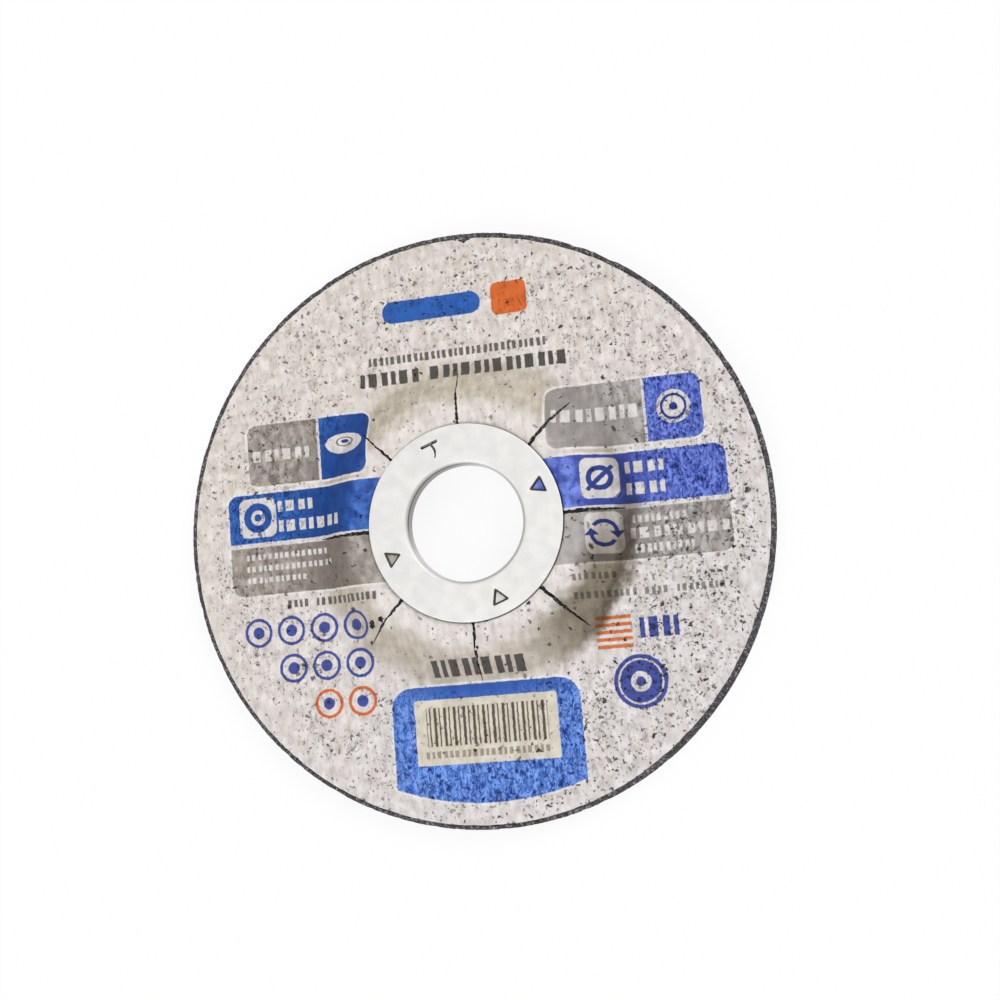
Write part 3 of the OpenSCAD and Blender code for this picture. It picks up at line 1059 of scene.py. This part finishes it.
oval_plan = add(tree, "VectorMath", {0: plan, 1: (1, OVAL_STRETCH, 1)}, operation="MULTIPLY")[0]
oval_x, oval_y = OVAL_FIGURE[0], OVAL_STRETCH * OVAL_FIGURE[1]
colour = lay_inks(tree, colour, [
    (print_mask(plan, PALE_SQUARES + [disc_box(*DISC_FIGURE, DISC_FIELD_R)]), PALE_PRINT),
    (ring_mask(plan, BORE_FIGURE, *BORE_RING), DEEP_BLUE),
    (print_mask(plan, [disc_box(*BORE_FIGURE, BORE_DOT_R)]), DEEP_BLUE),
    (ring_mask(plan, SIZE_FIGURE, *SIZE_RING), NAVY),
    (slanted(SIZE_FIGURE, SIZE_STROKE), NAVY),
    (ring_mask(plan, TURN_FIGURE, *TURN_RING), NAVY),
    (slanted(TURN_FIGURE, TURN_CUT, TURN_GAP), PALE_PRINT),
    arrow_head(1),
    arrow_head(-1),
    (ring_mask(plan, DISC_FIGURE, *DISC_RING), NAVY),
    (print_mask(plan, [disc_box(*DISC_FIGURE, DISC_DOT_R)]), NAVY),
    (print_mask(oval_plan, [disc_box(oval_x, oval_y, OVAL_FIELD_R)]), PALE_PRINT),
    (ring_mask(oval_plan, (oval_x, oval_y + OVAL_RING_LIFT), *OVAL_RING), ink("#77726c")),
    (print_mask(oval_plan, [disc_box(oval_x, oval_y + OVAL_DOT_LIFT, OVAL_DOT_R)]), NAVY),
])
print("paper nodes with the figures:", len(tree.nodes))

# %% Figures on the open paper
# Centre, width and height of the tile that repeats
RING_TILE = ((-24.0, -17.1), 6.8, 7.35)
RING_R, RING_HOLE_R, DOT_R = 2.85, 2.25, 1.15
BLUE_RING_ROWS = [(-48.0, -20.5, -20.7, -13.4, 0.2), (-41.0, -20.5, -28.0, -20.8, 0.2)]
ORANGE_RING_ROW = [(-34.2, -20.5, -35.4, -28.2, 0.2)]
STRIPED_FIELD, STRIPE_PITCH = [(22.3, 29.0, -26.0, -19.3, 0.4)], 1.34
STRIPE = [(-FAR, FAR, -0.34, 0.34, 0.15)]
BLUE_LINES = [(29.8, 37.0, -24.3, -20.5, 0.3)]
SPOT_CENTRE, SPOT_R = (29.75, -32.2), 5.0
SPOT_OUTER_RING, SPOT_INNER_RING = (4.25, 3.9), (1.9, 0.9)
BAR_FIELD, BAR_PITCH = [(-11.7, 11.8, -41.5, -34.2, 0.2)], 1.9
BAR_PAIR = [(-0.7, -0.15, -FAR, FAR, 0.12), (0.3, 0.58, -FAR, FAR, 0.12)]
BAR_LINE = [(-11.7, 11.8, -43.7, -42.4, 0.2)]
TOP_BLUE, TOP_ORANGE = [(-14.5, 5.4, 41.2, 45.6, 2.1)], [(7.6, 14.6, 40.2, 46.6, 1.2)]
RING_BLUE, ORANGE = ink("#4854a0"), ink("#dc6f34")

ring_centre = RING_TILE[0]
whole_rings, ring_holes, dots = (
    repeat_mask(*RING_TILE, [disc_box(*ring_centre, radius)]) for radius in (RING_R, RING_HOLE_R, DOT_R)
)
rings = add(tree, "Math", {0: whole_rings, 1: ring_holes}, operation="SUBTRACT", use_clamp=True)[0]
blue_rows, orange_row = print_mask(plan, BLUE_RING_ROWS), print_mask(plan, ORANGE_RING_ROW)
stripes = repeat_mask((0, 0), 2 * FAR, STRIPE_PITCH, STRIPE)
bars = repeat_mask((0, 0), BAR_PITCH, 2 * FAR, BAR_PAIR)
colour = lay_inks(tree, colour, [
    (rings, blue_rows, RING_BLUE),
    (dots, blue_rows, RING_BLUE),
    (rings, orange_row, ORANGE),
    (dots, orange_row, RING_BLUE),
    (stripes, print_mask(plan, STRIPED_FIELD), ink("#d47a48")),
    printed_lines("large", BLUE_LINES, RING_BLUE),
    (print_mask(plan, [disc_box(*SPOT_CENTRE, SPOT_R)]), RING_BLUE),
    (ring_mask(plan, SPOT_CENTRE, *SPOT_OUTER_RING), PALE_PRINT),
    (ring_mask(plan, SPOT_CENTRE, *SPOT_INNER_RING), PALE_PRINT),
    (bars, print_mask(plan, BAR_FIELD), ink("#5d5548")),
    printed_lines("small", BAR_LINE, ink("#a0988a")),
    (print_mask(plan, TOP_BLUE), ink("#2f62b4")),
    (print_mask(plan, TOP_ORANGE), ORANGE),
])
print("paper nodes with all the print:", len(tree.nodes))

# %% [markdown]
# Pressing crumpled the paper over the grit. Short dark strokes of painted shade run where it creased,
# strongest in the blue. They are the thin lines on which a twisted noise passes its middle value, broken
# up by a second noise. The sculpted relief, kept on the vertices, also adds painted shade where the paper
# sank.

# %% Painted shade in the creases and hollows
CREASE_SIZE = 1.7
CREASE_BREAK = 2.3
PLAIN_CREASE, GREY_CREASE, BLUE_CREASE, CREAM_CREASE, SMOOTH_CREASE = 0.36, 0.14, 0.9, 0.1, 0.12
RELIEF_RANGE = (-0.9, 0.6)
CREASE_WIDTH, CREASE_STOPS = (0.01, 0.045), (0.45, 0.58)

crease_noise = add(tree, "TexNoise", {
    "Vector": streak_plan, "Scale": 1 / CREASE_SIZE, "Detail": 2.5, "Distortion": 1.2,
})[0]
crease_side = add(tree, "Math", {0: crease_noise, 1: 0.5}, operation="SUBTRACT")[0]
crease_gap = add(tree, "Math", {0: crease_side}, operation="ABSOLUTE")[0]
crease_break = add(tree, "TexNoise", {"Vector": flat_plan, "Scale": 1 / CREASE_BREAK, "Detail": 2.0})[0]
grey_crease = add(tree, "MapRange", {"Value": panels, TO: (PLAIN_CREASE, GREY_CREASE)})[0]
blue_crease = add(tree, "MapRange", {"Value": inked, TO: (grey_crease, BLUE_CREASE)})[0]
any_crease = add(tree, "MapRange", {"Value": cream, TO: (blue_crease, CREAM_CREASE)})[0]
crease_depth = add(tree, "MapRange", {"Value": grit_zone, TO: (SMOOTH_CREASE, any_crease)})[0]
crease_here = add(tree, "MapRange", {
    "Value": crease_break, FROM: CREASE_STOPS, "To Max": crease_depth,
})[0]
# Painted shade along the creases.
crease_shade = add(tree, "MapRange", {"Value": crease_gap, FROM: CREASE_WIDTH, TO: (crease_here, 0.0)})[0]
relief_height = add(tree, "Attribute", {}, attribute_name="relief")["Fac"]
# Painted shade where the relief sank.
sunk_shade = add(tree, "MapRange", {"Value": relief_height, FROM: RELIEF_RANGE, TO: (1.0, 0.0)})[0]
crease_shade_tone = lay_inks(tree, ink("#414247"), [(inked, ink("#4d629e"))])
colour = lay_inks(tree, colour, [(crease_shade, crease_shade_tone), (sunk_shade, ink("#e4e0dd"))], "MULTIPLY")
print("paper nodes with the creases:", len(tree.nodes))

# %% [markdown]
# Grit came through the paper as dark specks: small dots, commas and dashes in loose clusters, few on the
# hub and near the edge, most on the lower right and in the pale blue. A cell texture scatters them, a
# noise bends their outlines, and a lottery on each cell's random colour picks which cells have a speck.
# Round each one the paper is drawn in a little, and a faint grey ring of painted shade lies round it.

# %% Grit specks
CLUSTER_SIZE, CLUSTER_CONTRAST, CLUSTER_SHARES = 6.0, (0.38, 0.62), (0.2, 1.4)
SPECK_SIDE, SPECK_RAMP = (0.75, -0.65, 0), (0.0, 40.0)
CREAM_SHARE, SMOOTH_ZONE_SHARE = 0.6, 0.3
BEND_SIZE_SHARE, BEND_SHARE = 2.4, 5
PAPER_SHARES, BLUE_SHARES = (1.0, 2.4), (0.6, 2.3)
FAINTEST, SMALLEST = 0.52, 0.35
DEEPEST, LARGEST = (0.96, 1.0), (0.88, 1.0)
CORE_EDGE, HALO_EDGE, HALO_SHADE = (-0.02, 0.04), (-0.22, 0.0), 0.14
# Cell size, largest radius, share of the cells and shift of each kind of speck
LARGE_SPECKS, SMALL_SPECKS = (1.4, 0.4, 0.45, (3.7, -3.7, 0)), (0.9, 0.19, 0.45, (11.9, 5.1, 0))


def specks_of(pitch, reach, chance, shift):
    """Mask of specks from one cell texture, with a cell size, a largest radius and a share of cells."""
    moved = add(tree, "VectorMath", {0: flat_plan, 1: shift}, operation="ADD")[0]
    bend_size, most_bend = BEND_SIZE_SHARE * reach, BEND_SHARE * reach
    bend = add(tree, "TexNoise", {"Vector": moved, "Scale": 1 / bend_size, "Detail": 2.0})["Color"]
    push = add(tree, "VectorMath", {0: bend, 1: (most_bend, most_bend, 0)}, operation="MULTIPLY")[0]
    bent = add(tree, "VectorMath", {0: moved, 1: push}, operation="ADD")[0]
    cells = add(tree, "TexVoronoi", {"Vector": bent, "Scale": 1 / pitch}, voronoi_dimensions="2D")
    draw = add(tree, "SeparateColor", {"Color": cells["Color"]})
    limit = add(tree, "Math", {0: crowd, 1: chance}, operation="MULTIPLY")[0]
    picked = add(tree, "Math", {0: draw["Red"], 1: limit}, operation="LESS_THAN")[0]
    depth = add(tree, "MapRange", {"Value": draw["Blue"], TO: (FAINTEST, deepest)})[0]
    size = add(tree, "MapRange", {"Value": draw["Green"], TO: (SMALLEST, largest)})[0]
    size = add(tree, "Math", {0: size, 1: reach / pitch}, operation="MULTIPLY")[0]
    inside = add(tree, "Math", {0: size, 1: cells["Distance"]}, operation="SUBTRACT")[0]
    core = add(tree, "MapRange", {"Value": inside, FROM: CORE_EDGE, "To Max": depth})[0]
    # A faint ring of painted shade round each speck.
    halo_shade = add(tree, "MapRange", {"Value": inside, FROM: HALO_EDGE, "To Max": HALO_SHADE})[0]
    shown = add(tree, "Math", {0: core, 1: halo_shade}, operation="MAXIMUM")[0]
    return add(tree, "Math", {0: shown, 1: picked}, operation="MULTIPLY")[0]


cluster = add(tree, "TexNoise", {"Vector": flat_plan, "Scale": 1 / CLUSTER_SIZE, "Detail": 2.0})[0]
cluster = add(tree, "MapRange", {"Value": cluster, FROM: CLUSTER_CONTRAST, TO: CLUSTER_SHARES})[0]
side = add(tree, "VectorMath", {0: flat_plan, 1: SPECK_SIDE}, operation="DOT_PRODUCT")["Value"]
side = add(tree, "MapRange", {"Value": side, FROM: SPECK_RAMP})[0]
deepest = add(tree, "MapRange", {"Value": side, TO: DEEPEST})[0]
largest = add(tree, "MapRange", {"Value": side, TO: LARGEST})[0]
grit_share = add(tree, "MapRange", {"Value": side, TO: PAPER_SHARES})[0]
ink_share = add(tree, "MapRange", {"Value": pale_east, TO: BLUE_SHARES})[0]
printed_share = add(tree, "MapRange", {"Value": inked, TO: (grit_share, ink_share)})[0]
cream_share = add(tree, "MapRange", {"Value": cream, TO: (printed_share, CREAM_SHARE)})[0]
zone_share = add(tree, "MapRange", {"Value": grit_zone, TO: (SMOOTH_ZONE_SHARE, cream_share)})[0]
crowd = add(tree, "Math", {0: cluster, 1: zone_share}, operation="MULTIPLY")[0]
large_specks = specks_of(*LARGE_SPECKS)
small_specks = specks_of(*SMALL_SPECKS)
specks = add(tree, "Math", {0: large_specks, 1: small_specks}, operation="MAXIMUM")[0]
speck_tone = lay_inks(tree, ink("#383532"), [(inked, ink("#3d4c82"))])
colour = lay_inks(tree, colour, [(specks, speck_tone)], "MULTIPLY")
print("paper nodes with the specks:", len(tree.nodes))

# %% [markdown]
# On the lower right of the flank a dark brownish patch of painted shade lies over the print as well. The
# foot of the flank carries more painted shade, further round to the right. A thin painted shadow lies
# along the ring's edge, most of it on the same side.

# %% Painted shade patch, foot shade and ring shadow
SHADED_SIDE_ANGLE, FOOT_ANGLE = math.radians(329), math.radians(346)
FOOT_START, FOOT_END = (28.2, 30.2), (31.0, 33.2)
# Cosines of the angles at which the shade patch, the foot's shade and the ring's shadow start and are full
SHADE_PATCH_SPREAD, FOOT_SPREAD, RING_SHADOW_SPREAD = (0.76, 1.0), (0.64, 0.94), (-0.6, 0.6)
RING_SHADOW_WIDTH, LEAST_RING_SHADOW = (0.02, 0.32), 0.35

direction = add(tree, "VectorMath", {0: flat_plan}, operation="NORMALIZE")[0]
toward_shaded_side, toward_foot = (
    add(tree, "VectorMath", {
        0: direction, 1: (math.cos(angle), math.sin(angle), 0),
    }, operation="DOT_PRODUCT")["Value"] for angle in (SHADED_SIDE_ANGLE, FOOT_ANGLE)
)
# Painted shade on the lower right of the flank.
shade_patch = add(tree, "MapRange", {
    "Value": toward_shaded_side, FROM: SHADE_PATCH_SPREAD, "To Max": flank_cast_and_shade,
}, interpolation_type="SMOOTHSTEP")[0]
# Painted shade at the foot of the flank.
foot_start = add(tree, "MapRange", {"Value": wandering_radius, FROM: FOOT_START})[0]
foot_zone = add(tree, "MapRange", {"Value": wandering_radius, FROM: FOOT_END, TO: (foot_start, 0.0)})[0]
foot_shade = add(tree, "MapRange", {
    "Value": toward_foot, FROM: FOOT_SPREAD, "To Max": foot_zone,
}, interpolation_type="SMOOTHSTEP")[0]
# Painted shadow along the ring's edge, strongest on the lower right.
ring_shadow_side = add(tree, "MapRange", {"Value": toward_shaded_side, FROM: RING_SHADOW_SPREAD, "To Min": LEAST_RING_SHADOW})[0]
past_ring = add(tree, "Math", {0: radius, 1: ring_r / MM}, operation="SUBTRACT")[0]
ring_gap = add(tree, "Math", {0: past_ring}, operation="ABSOLUTE")[0]
ring_shadow = add(tree, "MapRange", {"Value": ring_gap, FROM: RING_SHADOW_WIDTH, TO: (ring_shadow_side, 0.0)})[0]
colour = lay_inks(tree, colour, [
    (shade_patch, ink("#ada99e")), (foot_shade, ink("#b9b4af")), (ring_shadow, ink("#4c4945")),
], "MULTIPLY")
print("paper nodes with the dark patch:", len(tree.nodes))

# %% [markdown]
# Uncoated paper scatters light softly, so it is rough with a weak gloss. Its fibres, the flats between
# creases and the dents at the specks are too fine for the mesh, so they are bumps, one over the other.
# Single fibres are too fine to show at all, so their pattern is drawn as coarse as tufts of them.

# %% Paper surface
FIBRE_SIZE = 0.4
FACET_SIZE = 1.1

fibre = add(tree, "TexNoise", {"Vector": flat_plan, "Scale": 1 / FIBRE_SIZE, "Detail": 3.0})[0]
fibre_bump = add(tree, "Bump", {"Height": fibre, "Distance": 0.07 * MM, "Strength": 0.8})[0]
facets = add(tree, "TexVoronoi", {
    "Vector": streak_plan, "Scale": 1 / FACET_SIZE,
}, voronoi_dimensions="2D", distance="MANHATTAN")["Distance"]
facet_bump = add(tree, "Bump", {
    "Height": facets, "Distance": 0.12 * MM, "Strength": 0.8, "Normal": fibre_bump,
})[0]
crumple_bump = add(tree, "Bump", {
    "Height": crease_noise, "Distance": 0.4 * MM, "Strength": 0.8, "Normal": facet_bump,
})[0]
speck_bump = add(tree, "Bump", {
    "Height": specks, "Distance": 0.1 * MM, "Strength": 0.7, "Normal": crumple_bump,
}, invert=True)[0]
coat(paper_label, paper, {
    "Base Color": colour, "Roughness": 0.6, "Specular IOR Level": 0.18, "Normal": speck_bump,
})

# %% [markdown]
# ## Tinned sheet
# The ring is thin steel sheet with a dull tin coat: almost white, very even, with a soft reflection.
# Painted shade darkens the punched sides and the outer edge, and a light painted shade dims the rounding
# of the lip. In the bore a painted shade greys the wall on the upper left, darkest just below the lip and
# paler further down; elsewhere the bore stays pale.

# %% Ring material
LIP_ZONE = 1.0
HAZE_SIZE, HAZE_CONTRAST = 2.5, (0.35, 0.65)
SHADED_BORE_ANGLE, SHADED_BORE_SPREAD = math.radians(138), (0.35, 0.8)
# Depths below the ring's top in millimetres
ROLL_DEPTH, SIDE_DEPTH, BORE_DEPTH, LINE_DEPTH = 0.12, (0.05, 0.14), (0.4, 0.6), (0.75, 1.1)

tin, tree, plan = new_material("dull_tinned_sheet")
haze = add(tree, "TexNoise", {"Vector": plan, "Scale": 1 / HAZE_SIZE, "Detail": 4.0})[0]
haze = add(tree, "MapRange", {"Value": haze, FROM: HAZE_CONTRAST})[0]
flat_plan = add(tree, "VectorMath", {0: plan, 1: (1, 1, 0)}, operation="MULTIPLY")[0]
radius = add(tree, "VectorMath", {0: flat_plan}, operation="LENGTH")["Value"]
height = add(tree, "SeparateXYZ", {0: plan})["Z"]
below = add(tree, "Math", {0: ring_top / MM, 1: height}, operation="SUBTRACT")[0]
in_lip = add(tree, "Math", {0: radius, 1: bore_r / MM + LIP_ZONE}, operation="LESS_THAN")[0]
# Painted shade on the punched sides and the outer edge, below the ring's top.
side_wall = add(tree, "MapRange", {"Value": below, FROM: SIDE_DEPTH})[0]
bore_wall = add(tree, "MapRange", {"Value": below, FROM: BORE_DEPTH})[0]
wall_shade = add(tree, "MapRange", {"Value": in_lip, TO: (side_wall, bore_wall)})[0]
past_line = add(tree, "MapRange", {"Value": below, FROM: LINE_DEPTH})[0]
# Painted shade in the bore: grey on the upper left, pale elsewhere.
direction = add(tree, "VectorMath", {0: flat_plan}, operation="NORMALIZE")[0]
shaded_bore_side = (math.cos(SHADED_BORE_ANGLE), math.sin(SHADED_BORE_ANGLE), 0)
toward = add(tree, "VectorMath", {0: direction, 1: shaded_bore_side}, operation="DOT_PRODUCT")["Value"]
whole = add(tree, "MapRange", {"Value": toward, FROM: SHADED_BORE_SPREAD, TO: (1.0, 0.0)})[0]
bore_shade_tone = lay_inks(tree, ink("#6f6c6b"), [(past_line, ink("#a9a6a6")), (whole, ink("#d2d1cf"))])
wall_shade_tone = lay_inks(tree, ink("#4d4a46"), [(in_lip, bore_shade_tone)])
# Painted shade on the rounding of the lip.
lip_shade = add(tree, "MapRange", {"Value": below, "From Max": ROLL_DEPTH, "To Max": in_lip})[0]
tin_colour = lay_inks(tree, ink("#cccbc9"), [
    (haze, ink("#d4d3d1")), (lip_shade, ink("#b8b7b5")), (wall_shade, wall_shade_tone),
])
coat(arbor_ring, tin, {"Base Color": tin_colour, "Metallic": 1.0, "Roughness": 0.62})

# %% [markdown]
# ## Light and floor
# The photograph was taken under soft light on white, with one broad light from the upper right and a
# weaker one from below left. Two soft suns and a plain white world do the same. The floor and the world
# are white to the camera and in reflections, and the floor still takes the wheel's shadow.

# %% Floor
FLOOR_SIZE = 1.2
FLOOR_GLOW = 0.9
WHITE = (1, 1, 1, 1)

floor_mesh = bmesh.new()
bmesh.ops.create_grid(floor_mesh, x_segments=1, y_segments=1, size=FLOOR_SIZE)
floor = to_object(floor_mesh, "floor")


def seen_directly(tree):
    """1 for camera, mirror and glass rays, which should see a white background."""
    path = add(tree, "LightPath", {})
    seen = path["Is Camera Ray"]
    for ray in ("Is Glossy Ray", "Is Transmission Ray"):
        seen = add(tree, "Math", {0: seen, 1: path[ray]}, operation="MAXIMUM")[0]
    return seen


floor_paint = bpy.data.materials.new("white_paper_floor")
tree = empty_tree(floor_paint)
glow_share = add(tree, "Math", {0: seen_directly(tree), 1: FLOOR_GLOW}, operation="MULTIPLY")[0]
matte = add(tree, "BsdfDiffuse", {"Color": ink("#f7f7f7")})[0]
glow = add(tree, "Emission", {"Color": WHITE, "Strength": 1.0})[0]
add(tree, "OutputMaterial", {"Surface": add(tree, "MixShader", {0: glow_share, 1: matte, 2: glow})[0]})
floor.data.materials.append(floor_paint)
print(f"floor {2 * FLOOR_SIZE:.1f} m wide")

# %% World and lamps
WORLD_FILL = 0.36
SUN_SPREAD = math.radians(30)
# Azimuth and elevation in degrees, and share of the light on the floor
SUNS = {"key_light": (48, 35, 0.37), "fill_light": (240, 36, 0.31)}

world = bpy.data.worlds.new("white_studio")
bpy.context.scene.world = world
tree = empty_tree(world)
strength = add(tree, "MapRange", {"Value": seen_directly(tree), TO: (WORLD_FILL, 1.0)})[0]
sky = add(tree, "Background", {"Color": WHITE, "Strength": strength})[0]
add(tree, "OutputWorld", {"Surface": sky})

for name, (azimuth, elevation, share) in SUNS.items():
    sun = bpy.data.lights.new(name, "SUN")
    sun.angle = SUN_SPREAD
    sun.energy = math.pi * share / math.sin(math.radians(elevation))
    lamp = bpy.data.objects.new(name, sun)
    turned = Matrix.Rotation(math.radians(azimuth + 90), 4, "Z")
    lamp.matrix_world = turned @ Matrix.Rotation(math.radians(90 - elevation), 4, "X")
    bpy.context.scene.collection.objects.link(lamp)
print("lamps:", sorted(SUNS))

# %% [markdown]
# ## Riding on the frame
# Each new skin stands for one CAD node, which it hides, and rides on the root body.

# %% Hand the pieces to the frame
for piece, node, slot in (
    (abrasive_disc, "abrasive_disc", "abrasive"),
    (paper_label, "paper_label", "label"),
    (arbor_ring, "arbor_ring", "ring"),
):
    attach(piece, "root")
    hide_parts(node)
    triangles = sum(len(face.vertices) - 2 for face in piece.data.polygons)
    print(f"{piece.name}: {triangles} triangles")
